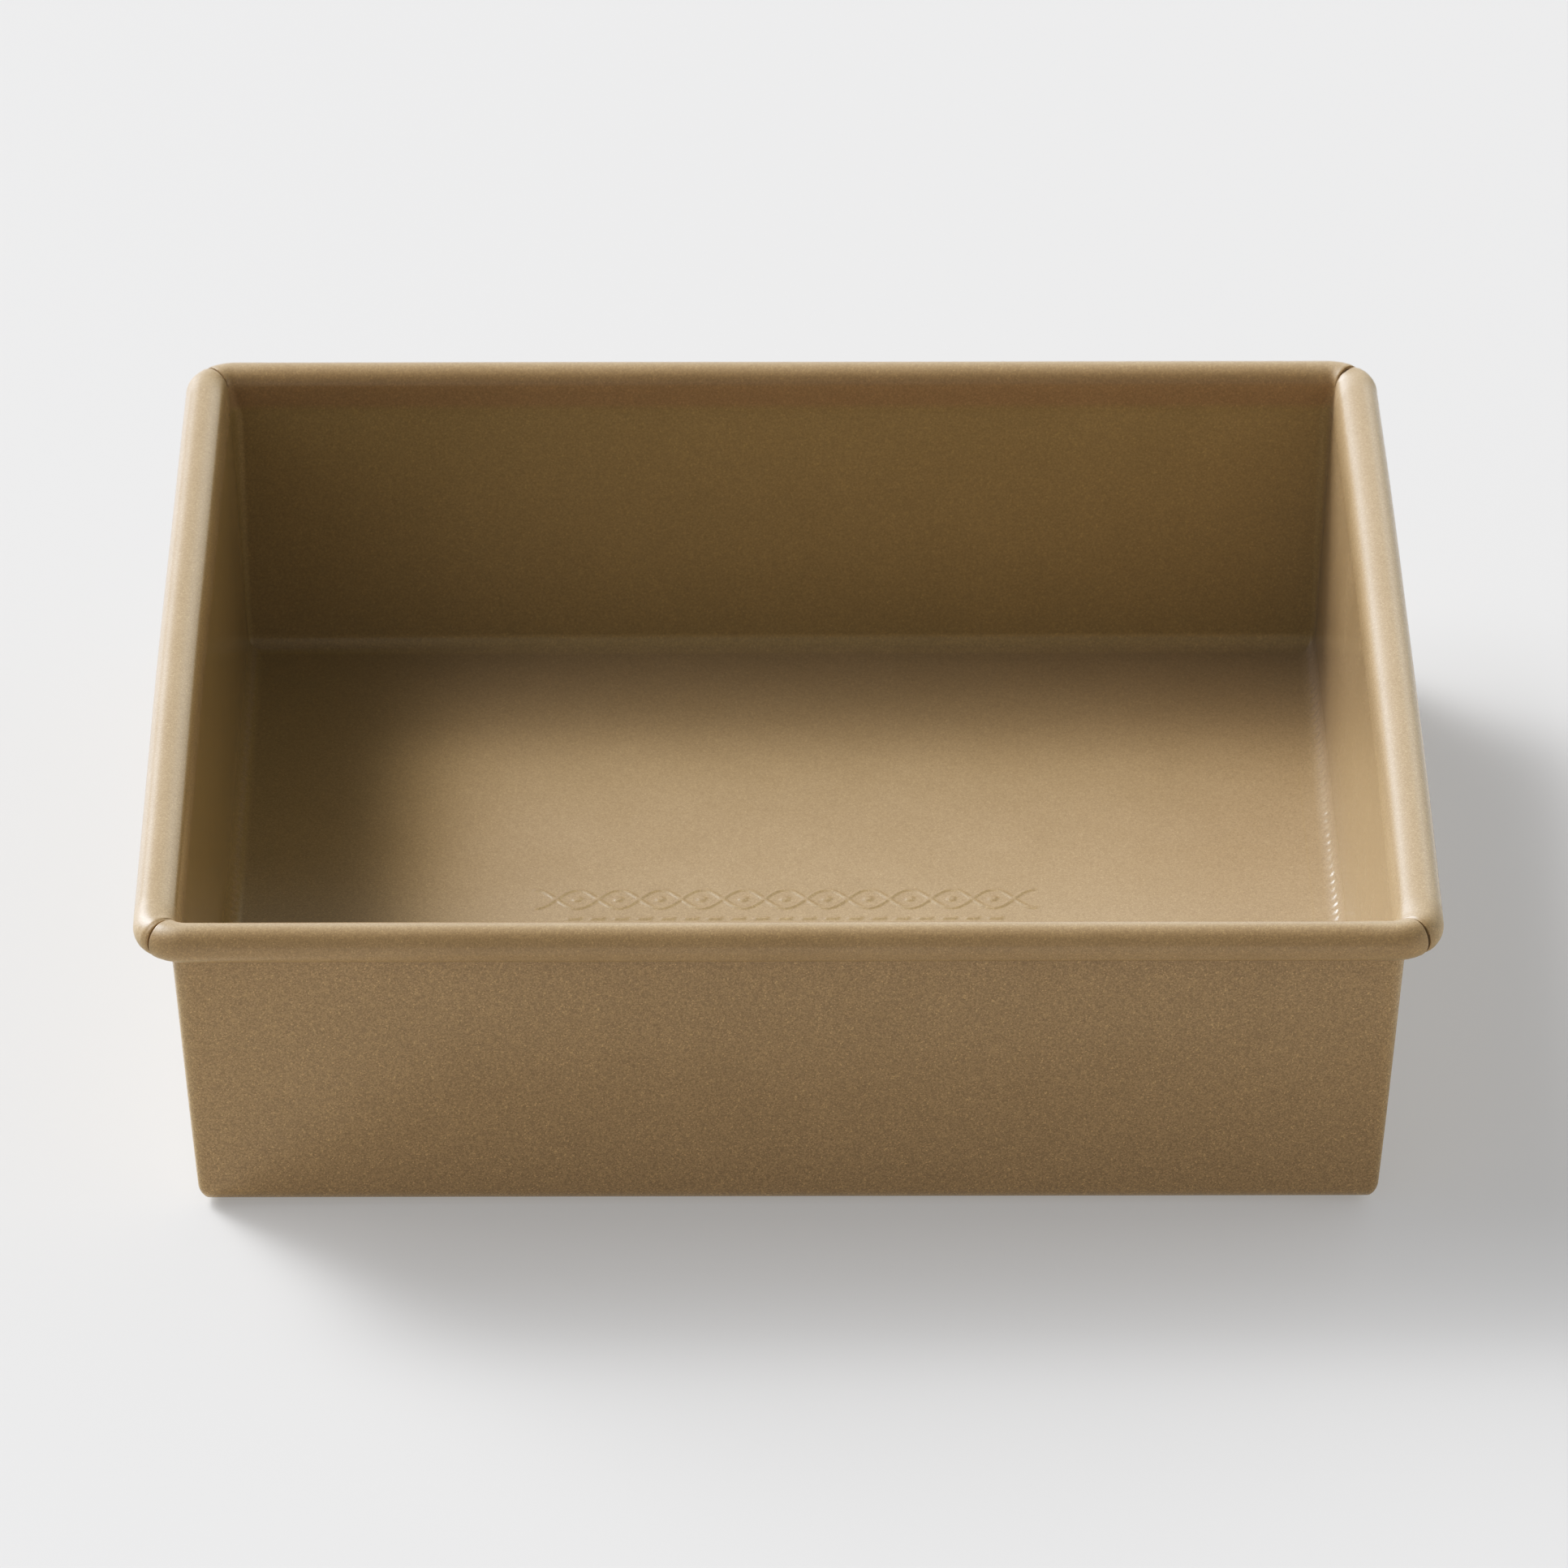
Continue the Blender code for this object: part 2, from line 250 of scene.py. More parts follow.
def roll_row(i, off):
    """Ring i of the rolled rim on its outside (off = 0) or inside (off = T)."""
    start_x, start_y = X_SEC[0]["start"], Y_SEC[0]["start"]
    phi0 = column_angle(RIM_CORNER, math.pi / 2)
    b = np.where(LK == "front", 1.0, np.where(np.isin(LK, ("arc", "slot")), np.sin(phi0) ** 2, 0.0))
    start = start_x * (1 - b) + start_y * b
    alpha = start + (ROLL_END - start) * i / N_ROLL
    radius = RIM_CORNER + (ROLL_R - off) * np.cos(alpha)
    phi = column_angle(np.maximum(radius, 1.5 * MM), alpha)
    rho = ROLL_R - off - pinch(np.degrees(phi), alpha) * smooth(0.0, 5.0, i)
    nx, ny = np.cos(phi), np.sin(phi)
    px = CC[0] + RIM_CORNER * nx
    py = CC[1] + RIM_CORNER * ny
    # Straight lengths.
    hem = CC[1] - PLEAT_FOOT - (PLEAT_TOP - T - BEND)
    r2 = 0.2 * MM
    psi = np.radians(LP)
    is_side, is_hem, is_face, is_front = (LK == k for k in ("side", "hem", "face", "front"))
    straight = is_side | is_hem | is_face
    hem_y = np.where(psi < 0, hem - r2 * np.abs(psi) / (math.pi / 2), hem + r2 * (1 - np.cos(psi)))
    y_s = np.where(is_side, (hem - r2 * 84 / 90) * LP,
                   np.where(is_hem, hem_y, hem + r2 + (CC[1] - hem - r2) * LP))
    px = np.where(straight, ROLL_CX, px)
    py = np.where(straight, y_s, py)
    nx = np.where(straight, 1.0, nx)
    ny = np.where(straight, 0.0, ny)
    px = np.where(is_front, CC[0] * (1 - LP), px)
    py = np.where(is_front, ROLL_CY, py)
    nx = np.where(is_front, 0.0, nx)
    ny = np.where(is_front, 1.0, ny)
    x = px + rho * np.cos(alpha) * nx
    y = py + rho * np.cos(alpha) * ny
    z = ROLL_Z + rho * np.sin(alpha)
    return np.stack([x * SX, y * SY, z], 1)


def mix(a, b, f):
    return (a[0] + (b[0] - a[0]) * f, a[1] + (b[1] - a[1]) * f)


def wall_rows(back):
    """Rings from the floor bend up to the roll, one side of the sheet."""
    xs, ys = X_SEC[1 if back else 0], Y_SEC[1 if back else 0]
    corner = R_UP + (T if back else 0.0)
    rings = []
    fx, fy = xs["bend"][-1], ys["bend"][-1]
    for px, py in zip(xs["bend"], ys["bend"]):
        rx = max(R_FLOOR, corner - (fx[0] - px[0]))
        ry = max(R_FLOOR, corner - (fy[0] - py[0]))
        rings.append(("bend", wall_row(px, py, px[0] - rx, py[0] - ry)))

    def stand(z, x):
        f = (z - fx[1]) / (PLEAT_TOP - fx[1])
        return max(0.0, fx[0] + (PLEAT_OUT - fx[0]) * f - x) if back else 0.0

    kx, ky = xs["knee"], ys["knee"]
    for j in range(1, N_WALL + 1):
        # The first ring stays close above the bend, so that the bend reads as one.
        f = (j / (N_WALL + 1.0)) ** 1.25
        px, py = mix(fx, kx, f), mix(fy, ky, f)
        grown = corner + R_GROW * f
        rings.append(("wall", wall_row(px, py, px[0] - grown, py[0] - grown, stand(px[1], px[0]))))
    # The knee of the flare is a small radius.
    knee_c = (kx[0] - corner - R_GROW, ky[0] - corner - R_GROW)
    r_knee = 0.9 * MM
    for s in (-1.0, -0.4, 0.0, 0.4, 1.0):
        if s <= 0:
            f = 1 + s * r_knee / (kx[1] - fx[1])
            px, py = mix(fx, kx, f), mix(fy, ky, f)
        else:
            f = s * r_knee / (xs["top"][1] - kx[1])
            px, py = mix(kx, xs["top"], f), mix(ky, ys["top"], f)
        cut = 0.022 * MM * (1 - s * s)
        px = (px[0] + cut, px[1])
        rings.append(("knee", wall_row(px, py, knee_c[0] + (px[0] - kx[0]), knee_c[1] + (py[0] - ky[0]), stand(px[1], px[0]))))
    f0 = r_knee / (xs["top"][1] - kx[1])
    steps = [(f0 + (1 - f0) * g, False) for g in (0.3, 0.6, 0.85)]
    if back:
        f = (PLEAT_TOP - kx[1]) / (xs["top"][1] - kx[1])
        steps = [(f - 0.01, True), (f, True), (f + 0.004, False), (f + 0.02, False)] + [s for s in steps if s[0] > f + 0.1]
    for f, full in steps:
        px, py = mix(kx, xs["top"], f), mix(ky, ys["top"], f)
        c = mix(knee_c, CC, f)
        rings.append(("flare", wall_row(px, py, c[0], c[1], stand(px[1], px[0]) if full else 0.0)))
    return rings


# ------------------------------------------------------------------ forming marks
def shape(p):
    """Small deviations of the formed sheet, the same for every piece of it."""
    x, y, z = p[:, 0], p[:, 1], p[:, 2]
    up = smooth(0.0, TOP, z)
    side = smooth(0.45, 1.0, np.abs(x) / HX)
    front = smooth(0.45, 1.0, np.abs(y) / HY)
    q = p.copy()
    q[:, 0] -= np.sign(x) * BOW * up * np.clip(np.abs(y) / HY, 0, 1) ** 2 * side
    q[:, 0] -= np.sign(x) * side * up * 0.035 * MM * (1 + np.sin(y * 61 + 1.3 * np.sign(x)))
    q[:, 1] -= np.sign(y) * front * up * 0.035 * MM * (1 + np.sin(x * 57 + 0.7 * np.sign(y)))
    mid = np.sin(np.pi * np.clip(z / (TOP - 6 * MM), 0, 1))
    q[:, 0] += np.sign(x) * side * mid * 0.10 * MM * np.cos(y * 15.7 + 0.3)
    q[:, 1] += np.sign(y) * front * mid * 0.08 * MM * np.cos(x * 14.3 - 0.4)
    return q


def fuller(p):
    """The roll is fuller on its inner side than round the wire: more on the side
    walls than on the front and rear."""
    q = p.copy()
    ax, ay = np.abs(p[:, 0]) - CC[0], np.abs(p[:, 1]) - CC[1]
    corner = (ax > 0) & (ay > 0)
    on_side = np.where(corner, False, ax / RIM_CORNER > ay / RIM_CORNER)
    r = np.hypot(ax, ay) + 1e-9
    nx = np.where(corner, ax / r, np.where(on_side, 1.0, 0.0))
    ny = np.where(corner, ay / r, np.where(on_side, 0.0, 1.0))
    out = np.where(corner, r, np.where(on_side, ax, ay))
    depth = np.clip((RIM_CORNER - out) / ROLL_R, 0, 1.0)
    gain = (0.95 * nx ** 2 + 0.45 * ny ** 2) * MM * np.clip((p[:, 2] - (TOP - FLARE_DROP)) / (4.6 * MM), 0, 1)
    q[:, 0] -= np.sign(p[:, 0]) * nx * gain * depth
    q[:, 1] -= np.sign(p[:, 1]) * ny * gain * depth
    return q


def dents(p):
    """Pressed spots at single corners of the rim."""
    q = p.copy()
    spots = [  # centre, radius, push (mm)
        ((HX - 5.0 * MM, HY - 6.6 * MM, TOP - 0.9 * MM), 1.5 * MM, (0.05, 0.02, -0.16)),
        ((-HX + 2.0 * MM, -HY + 7.4 * MM, TOP - 1.6 * MM), 1.0 * MM, (0.10, 0.0, -0.07)),
        ((-HX + 1.3 * MM, -HY + 9.6 * MM, TOP - 2.4 * MM), 0.9 * MM, (0.08, 0.0, -0.04)),
        ((HX - 6.6 * MM, -HY + 6.4 * MM, TOP - 0.6 * MM), 0.9 * MM, (0.0, 0.04, -0.12)),
        ((HX - 2.0 * MM, -HY + 8.0 * MM, TOP - 1.7 * MM), 1.9 * MM, (-0.14, 0.0, -0.08)),
    ]
    for c, r, push in spots:
        d2 = ((p - np.array(c)) ** 2).sum(1) / (r * r)
        q += np.exp(-d2)[:, None] * np.array(push)[None, :] * MM
    return q


# ------------------------------------------------------------------ floor motif
RELIEF = 0.20 * MM


def bump_of(d, edge):
    """Raised where d (signed distance, mm) is negative, with a soft shoulder."""
    return 1.0 - smooth(-edge, edge, d)


def motif(x, y):
    """A plain raised border: two crossing waves with a bead in every eye, and a
    rule of short dashes under it. x and y in mm; returns the share of RELIEF."""
    h = np.zeros_like(x)
    half, mid, amp, wave = 44.0, 3.9, 3.3, 14.6
    k = 2 * math.pi / wave
    slope = np.sqrt(1 + (amp * k * np.sin(k * x)) ** 2)
    for sign in (1, -1):
        d = np.abs(y - mid - sign * amp * np.cos(k * x)) / slope - 0.30
        h = np.maximum(h, bump_of(np.maximum(d, np.abs(x) - half), 0.20))
    for n in range(-6, 7):
        if abs(n * wave / 2) < half - 3:
            d = np.hypot((x - n * wave / 2) / 1.0, y - mid) - 0.85
            h = np.maximum(h, bump_of(d, 0.22))
    for n in range(-9, 10):
        d = np.maximum(np.abs(x - n * 4.1) - 1.25, np.abs(y + 3.1) - 0.42)
        h = np.maximum(h, bump_of(d, 0.20))
        d = np.hypot(x - n * 4.1, y + 5.6) - 0.6
        h = np.maximum(h, bump_of(d, 0.20))
    return h


# ------------------------------------------------------------------ body mesh
verts, faces, marks = [], [], []


def add_points(p):
    start = sum(len(v) for v in verts)
    verts.append(np.asarray(p, float))
    return np.arange(start, start + len(p))


def quad_rows(a, b, skip=(), flip=False):
    n = len(a)
    for i in range(n):
        if i in skip:
            continue
        j = (i + 1) % n
        f = (a[i], b[i], b[j], a[j])
        faces.append(tuple(int(v) for v in (f[::-1] if flip else f)))


food = wall_rows(False)
back = wall_rows(True)
n_wall_food = len(food)

# Fine columns for the floor bend: every coarse interval on a straight length is split.
bend_food = [r for k, r in food if k == "bend"]
split = np.ones(N, int)
for i in range(N):
    j = (i + 1) % N
    length = np.linalg.norm(bend_food[0][j] - bend_food[0][i])
    if LK[i] not in ("arc", "slot") or LK[j] not in ("arc", "slot"):
        step = 1.6 * MM if "front" in (LK[i], LK[j]) else 0.38 * MM
        split[i] = max(1, int(round(length / step)))
fine_of = []          # (coarse index, fraction)
coarse_pos = []
for i in range(N):
    coarse_pos.append(len(fine_of))
    for s in range(split[i]):
        fine_of.append((i, s / split[i]))
FI = np.array([f[0] for f in fine_of])
FF = np.array([f[1] for f in fine_of])
NF = len(fine_of)
coarse_pos.append(NF)


def refine(ring):
    a, b = ring[FI], ring[(FI + 1) % N]
    return a + (b - a) * FF[:, None]


def crease_marks(p, k):
    """Slanted ripples left along the side folds by the forming tool, faint on the others."""
    x, y = p[:, 0], p[:, 1]
    s = k / N_BEND
    on_side = np.abs(x) / BASE_X > np.abs(y) / BASE_Y
    along = np.where(on_side, y * np.sign(x), x) / MM
    amp = np.where(on_side, np.where(x > 0, 1.0, 0.8), 0.0)
    ends = 1 - smooth(80.0, 92.0, np.abs(along))
    arc = s * (math.pi / 2) * BEND / MM
    wander = 0.35 * np.sin(along * 0.21) + 0.2 * np.sin(along * 0.53 + 1.0)
    wave = np.cos(2 * math.pi * ((along + wander) / 2.8 - arc / 4.0))
    env = math.exp(-((s - 0.44) / 0.14) ** 2)
    uneven = 0.8 + 0.2 * np.sin(along * 1.7 + 0.6 * np.sin(along * 0.31))
    height = 0.098 * MM * amp * ends * wave * env * uneven
    # A shallow double line where the tool's edge met the sheet.
    lines = 0.030 * MM * math.exp(-((s - 0.30) / 0.07) ** 2) + 0.024 * MM * math.exp(-((s - 0.66) / 0.07) ** 2)
    height = height + lines * np.where(on_side, 0.15, 1.0)
    height = height * (0.35 + 0.65 * ends)
    a = -math.pi / 2 + (math.pi / 2) * s
    n = np.zeros_like(p)       # towards the bend's centre
    n[:, 0] = np.where(on_side, -np.sign(x) * math.cos(a), 0)
    n[:, 1] = np.where(on_side, 0, -np.sign(y) * math.cos(a))
    n[:, 2] = -math.sin(a)
    return p + n * height[:, None]


# Food side, from the floor ring outwards.
inset = 2.0 * MM
fx0, fy0 = X_SEC[0]["bend"][0], Y_SEC[0]["bend"][0]
ring_fl = wall_row((fx0[0] - inset, T), (fy0[0] - inset, T),
                   fx0[0] - inset - R_FLOOR, fy0[0] - inset - R_FLOOR)
idx_fl = add_points(shape(ring_fl))
idx_bend = []
for k, ring in enumerate(bend_food):
    idx_bend.append(add_points(shape(crease_marks(refine(ring), k))))
for k in range(len(idx_bend) - 1):
    quad_rows(idx_bend[k], idx_bend[k + 1])
for i in range(N):
    j = (i + 1) % N
    run = [idx_bend[0][m % NF] for m in range(coarse_pos[i], coarse_pos[i + 1] + 1)]
    faces.append(tuple(int(v) for v in [idx_fl[i]] + run + [idx_fl[j]]))
idx_food = []
for kind, ring in food[len(bend_food):]:
    idx_food.append(add_points(dents(fuller(shape(ring)))))
for i in range(N):
    j = (i + 1) % N
    run = [idx_bend[-1][m % NF] for m in range(coarse_pos[i], coarse_pos[i + 1] + 1)]
    faces.append(tuple(int(v) for v in run[::-1] + [idx_food[0][i], idx_food[0][j]]))
roll_food = [add_points(dents(fuller(shape(roll_row(i, 0.0))))) for i in range(N_ROLL + 1)]
for a, b in zip(idx_food + roll_food[:1], idx_food[1:] + roll_food[:1]):
    if a is not b:
        quad_rows(a, b)
for a, b in zip(roll_food, roll_food[1:]):
    quad_rows(a, b, skip=set(SLOTS))

# Back side.
idx_back = [add_points(dents(fuller(shape(r)))) for k, r in back]
roll_back = [add_points(dents(fuller(shape(roll_row(i, T))))) for i in range(N_ROLL + 1)]
chain = idx_back + roll_back[:1]
for a, b in zip(chain, chain[1:]):
    quad_rows(a, b, flip=True)
for a, b in zip(roll_back, roll_back[1:]):
    quad_rows(a, b, skip=set(SLOTS), flip=True)
quad_rows(roll_food[-1], roll_back[-1], skip=set(SLOTS))
for i in SLOTS:
    j = (i + 1) % N
    for m in range(N_ROLL):
        f0, f1, b0, b1 = roll_food[m], roll_food[m + 1], roll_back[m], roll_back[m + 1]
        faces.append(tuple(int(v) for v in (b0[i], b1[i], f1[i], f0[i])))
        faces.append(tuple(int(v) for v in (f0[j], f1[j], b1[j], b0[j])))
    faces.append(tuple(int(v) for v in (f0[i], b0[i], b0[j], f0[j])) if False else
                 tuple(int(v) for v in (roll_food[0][j], roll_back[0][j], roll_back[0][i], roll_food[0][i])))

# Floor, food side: a grid whose lines meet the ring's columns, finer at the motif.
cxf = fx0[0] - inset - R_FLOOR
cyf = fy0[0] - inset - R_FLOOR
q1 = [i for i in range(N) if QI[i] == 0]
ys_pos = [float(ring_fl[i][1]) for i in q1 if LK[i] in ("side", "hem", "face") or (LK[i] == "arc" and LP[i] == 0.0)]
xs_pos = [float(ring_fl[i][0]) for i in q1 if LK[i] == "front" or (LK[i] == "arc" and LP[i] == 90.0)]
x_lines = sorted(set([round(v, 9) for v in xs_pos] + [round(-v, 9) for v in xs_pos]))
y_lines = sorted(set([round(v, 9) for v in ys_pos] + [round(-v, 9) for v in ys_pos]))
M_X, M_Y0, M_Y1 = 45.0 * MM, -7.0 * MM, 8.4 * MM
x_lines = sorted([v for v in x_lines if abs(abs(v) - M_X) > 3 * MM] + [-M_X, M_X])
y_lines = sorted([v for v in y_lines if abs(v - M_Y0) > 2.5 * MM and abs(v - M_Y1) > 2.5 * MM] + [M_Y0, M_Y1])
ax, bx = x_lines.index(-M_X), x_lines.index(M_X)
ay, by = y_lines.index(M_Y0), y_lines.index(M_Y1)
FINE = 0.31 * MM


def cut_up(lines):
    """The lines with every gap cut to FINE, and where each of them is in the result."""
    out, at = [], []
    for u, v in zip(lines, lines[1:]):
        n = max(1, int(round((v - u) / FINE)))
        at.append(len(out))
        out += [u + (v - u) * m / n for m in range(n)]
    at.append(len(out))
    return np.array(out + [lines[-1]]), at


gx, at_x = cut_up(x_lines[ax:bx + 1])
gy, at_y = cut_up(y_lines[ay:by + 1])
GX, GY = np.meshgrid(gx, gy, indexing="ij")
patch = np.stack([GX.ravel(), GY.ravel(), T + motif(GX / MM, GY / MM).ravel() * RELIEF], 1)
idx_patch = add_points(shape(patch)).reshape(GX.shape)
for a in range(len(gx) - 1):
    for b in range(len(gy) - 1):
        faces.append((int(idx_patch[a, b]), int(idx_patch[a + 1, b]), int(idx_patch[a + 1, b + 1]), int(idx_patch[a, b + 1])))
CX, CY = np.meshgrid(np.array(x_lines), np.array(y_lines), indexing="ij")
idx_grid = add_points(shape(np.stack([CX.ravel(), CY.ravel(), np.full(CX.size, T)], 1))).reshape(CX.shape)
for a in range(ax, bx + 1):
    for b in range(ay, by + 1):
        idx_grid[a, b] = idx_patch[at_x[a - ax], at_y[b - ay]]


def along_x(a, b):
    """Points on the grid line y_lines[b] from x_lines[a] to the next one."""
    if ax <= a < bx and b in (ay, by):
        row = 0 if b == ay else len(gy) - 1
        return [int(v) for v in idx_patch[at_x[a - ax]:at_x[a + 1 - ax] + 1, row]]
    return [int(idx_grid[a, b]), int(idx_grid[a + 1, b])]


def along_y(a, b):
    if ay <= b < by and a in (ax, bx):
        col = 0 if a == ax else len(gx) - 1
        return [int(v) for v in idx_patch[col, at_y[b - ay]:at_y[b + 1 - ay] + 1]]
    return [int(idx_grid[a, b]), int(idx_grid[a, b + 1])]


for a in range(len(x_lines) - 1):
    for b in range(len(y_lines) - 1):
        if ax <= a < bx and ay <= b < by:
            continue
        low, right_, high, left_ = along_x(a, b), along_y(a + 1, b), along_x(a, b + 1), along_y(a, b)
        faces.append(tuple(low[:-1] + right_[:-1] + high[::-1][:-1] + left_[::-1][:-1]))
ring_key = {}
for i in range(N):
    ring_key[(round(float(ring_fl[i][0]), 7), round(float(ring_fl[i][1]), 7))] = int(idx_fl[i])


def ring_at(x, y):
    return ring_key[(round(float(x), 7), round(float(y), 7))]


XL, YL = cxf + R_FLOOR, cyf + R_FLOOR
ring_x = sorted(set([round(v, 9) for v in xs_pos] + [round(-v, 9) for v in xs_pos]))
ring_y = sorted(set([round(v, 9) for v in ys_pos] + [round(-v, 9) for v in ys_pos]))
for sgn in (1, -1):
    a = len(x_lines) - 1 if sgn > 0 else 0
    poly = [ring_at(sgn * XL, v) for v in ring_y] + [int(idx_grid[a, m]) for m in range(len(y_lines))][::-1]
    faces.append(tuple(poly if sgn > 0 else poly[::-1]))
    b = len(y_lines) - 1 if sgn > 0 else 0
    poly = [int(idx_grid[m, b]) for m in range(len(x_lines))] + [ring_at(v, sgn * YL) for v in ring_x][::-1]
    faces.append(tuple(poly if sgn > 0 else poly[::-1]))
for q, (sx, sy) in enumerate(quarter_signs):
    arcs = [i for i in range(N) if QI[i] == q and LK[i] in ("arc", "slot")]
    corner = int(idx_grid[len(x_lines) - 1 if sx > 0 else 0, len(y_lines) - 1 if sy > 0 else 0])
    faces.append(tuple([corner] + [int(idx_fl[i]) for i in arcs]))

# Underside.
faces.append(tuple(int(v) for v in idx_back[0][::-1]))

coords = np.concatenate(verts)
mesh = bpy.data.meshes.new("pan_sheet")
mesh.from_pydata([tuple(v) for v in coords], [], faces)
inner = np.zeros(len(coords), np.float32)
inner[:int(idx_food[-4][-1]) + 1] = 1.0
inner[idx_patch.ravel()] = 1.0
inner[idx_grid.ravel()] = 1.0
mesh.attributes.new("inner", "FLOAT", "POINT").data.foreach_set("value", inner)
bm = bmesh.new()
bm.from_mesh(mesh)
loose = [v for v in bm.verts if not v.link_faces]
bmesh.ops.delete(bm, geom=loose, context="VERTS")
open_edges = sum(1 for e in bm.edges if len(e.link_faces) != 2)
bmesh.ops.recalc_face_normals(bm, faces=bm.faces)
bm.to_mesh(mesh)
volume = bm.calc_volume()
bm.free()
print("pan_sheet", len(mesh.vertices), "points", len(mesh.polygons), "faces", "open edges", open_edges, "volume cm3", round(volume * 1e6, 2))
mesh.shade_smooth()
mesh.set_sharp_from_angle(angle=math.radians(48))
# Painted light and shade in the film's colour: paler where the surface faces the key light, up and to the rear left
# (painted highlight), and deeper and darker on the inside of the side walls and in parts of the floor (painted shade).
normal = np.zeros(len(mesh.vertices) * 3, np.float32)
mesh.vertex_normals.foreach_get("vector", normal)
normal = normal.reshape(-1, 3)
food_side = np.zeros(len(mesh.vertices), np.float32)
mesh.attributes["inner"].data.foreach_get("value", food_side)
at = np.zeros(len(mesh.vertices) * 3, np.float32)
mesh.vertices.foreach_get("co", at)
at = at.reshape(-1, 3)
# Painted highlight: the film is paler the more the surface faces the key light.
painted_key_highlight = np.clip(normal @ np.array([-0.543, 0.472, 0.695]), 0, 1)
on_floor = food_side * smooth(0.8, 0.95, normal[:, 2])
# Painted shadow: on the floor the painted highlight fades to the left and to the rear, where the walls' shadows fall.
painted_key_highlight = painted_key_highlight * (1 - on_floor * (1 - (0.15 + 0.85 * smooth(-92 * MM, -42 * MM, at[:, 0])) * (1 - 0.5 * smooth(20 * MM, 95 * MM, at[:, 1]))))
front_out = (1 - food_side) * np.clip(-normal[:, 1], 0, 1)
left_in = food_side * np.clip(normal[:, 0], 0, 1)
right_in = food_side * np.clip(-normal[:, 0], 0, 1)
rear_in = food_side * np.clip(-normal[:, 1], 0, 1)
# Painted shade: darker on the inner faces of both side walls and on the right of the floor.
value = 1 - 0.13 * left_in - 0.12 * right_in - 0.08 * on_floor * smooth(50 * MM, 92 * MM, at[:, 0])
# All the painted light and shade above goes into one colour attribute that multiplies the film's colour.
painted_light_tint = np.ones((len(mesh.vertices), 4), np.float32)
painted_light_tint[:, 0] = value * (1 - 0.03 * painted_key_highlight)
# Painted shade colour: the shaded outside of the front wall and insides of the left and rear walls get a warmer,
# deeper tint than the key-lit faces.
painted_light_tint[:, 1] = value * (1 + 0.01 * painted_key_highlight) * (1 - 0.07 * front_out) * (1 + 0.03 * rear_in)
painted_light_tint[:, 2] = value * (1 + 0.42 * painted_key_highlight) * (1 - 0.16 * left_in) * (1 - 0.07 * front_out)
painted_light_tint[:, 2] *= 1 - 0.05 * rear_in
# Painted shadow colour: the floor is less blue on the left, where the left wall's shadow falls.
painted_light_tint[:, 2] *= 1 - 0.16 * on_floor * (1 - smooth(-92 * MM, -55 * MM, at[:, 0]))
mesh.attributes.new("painted_light_tint", "FLOAT_COLOR", "POINT").data.foreach_set("color", painted_light_tint.ravel())
# The flake shows less on the roll, and the skin is duller where the corners were gathered.
on_roll = smooth(TOP - 8.5 * MM, TOP - 6.5 * MM, at[:, 2]).astype(np.float32)
mesh.attributes["inner"].data.foreach_set("value", np.maximum(food_side, 0.95 * on_roll).astype(np.float32))
gather = on_roll * smooth(-5 * MM, 1.5 * MM, np.minimum(np.abs(at[:, 0]) - CC[0], np.abs(at[:, 1]) - CC[1]))
mesh.attributes.new("gather", "FLOAT", "POINT").data.foreach_set("value", gather.astype(np.float32))
pan = bpy.data.objects.new("pan_sheet", mesh)
bpy.context.scene.collection.objects.link(pan)

# ------------------------------------------------------------------ rim wire
path = []
BUTT = 0.3 * MM
for sx, sy, a0 in ((-1, 1, 90), (-1, -1, 180), (1, -1, 270), (1, 1, 0)):
    for a in np.linspace(a0, a0 + 90, 17):
        r = math.radians(a)
        path.append((sx * CC[0] + RIM_CORNER * math.cos(r), sy * CC[1] + RIM_CORNER * math.sin(r), math.cos(r), math.sin(r)))
    nx, ny, _, _ = path[-1]
full = [(-BUTT, ROLL_CY, 0.0, 1.0)]
for k, p in enumerate(path):
    if k and math.hypot(p[0] - path[k - 1][0], p[1] - path[k - 1][1]) > 20 * MM:
        q = path[k - 1]
        for f in np.linspace(0, 1, 14)[1:-1]:
            full.append((q[0] + (p[0] - q[0]) * f, q[1] + (p[1] - q[1]) * f, p[2], p[3]))
    full.append(p)
full.append((BUTT, ROLL_CY, 0.0, 1.0))
NS = 28
wv, wf = [], []
wire_r = WIRE_R * 1.03
for x, y, nx, ny in full:
    for i in range(NS):
        a = 2 * math.pi * i / NS
        wv.append((x + nx * wire_r * math.cos(a), y + ny * wire_r * math.cos(a), ROLL_Z + wire_r * math.sin(a)))
for k in range(len(full) - 1):
    for i in range(NS):
        j = (i + 1) % NS
        wf.append((k * NS + i, (k + 1) * NS + i, (k + 1) * NS + j, k * NS + j))
wf.append(tuple(range(NS)))
wf.append(tuple((len(full) - 1) * NS + i for i in range(NS))[::-1])
wmesh = bpy.data.meshes.new("wire_ring")
wmesh.from_pydata([tuple(v) for v in shape(np.array(wv))], [], wf)
bm = bmesh.new()
bm.from_mesh(wmesh)
bmesh.ops.recalc_face_normals(bm, faces=bm.faces)
bm.to_mesh(wmesh)
bm.free()
wmesh.shade_smooth()
wmesh.set_sharp_from_angle(angle=math.radians(48))
wire = bpy.data.objects.new("wire_ring", wmesh)
bpy.context.scene.collection.objects.link(wire)


# ------------------------------------------------------------------ materials
BASE_A = (0.409, 0.303, 0.154, 1)
BASE_B = (0.421, 0.315, 0.166, 1)
COAT, COAT_ROUGH = 1.0, 0.20


def new_material(name):
    m = bpy.data.materials.new(name)
    m.use_nodes = True
    nt = m.node_tree
    nt.nodes.clear()
    return m, nt


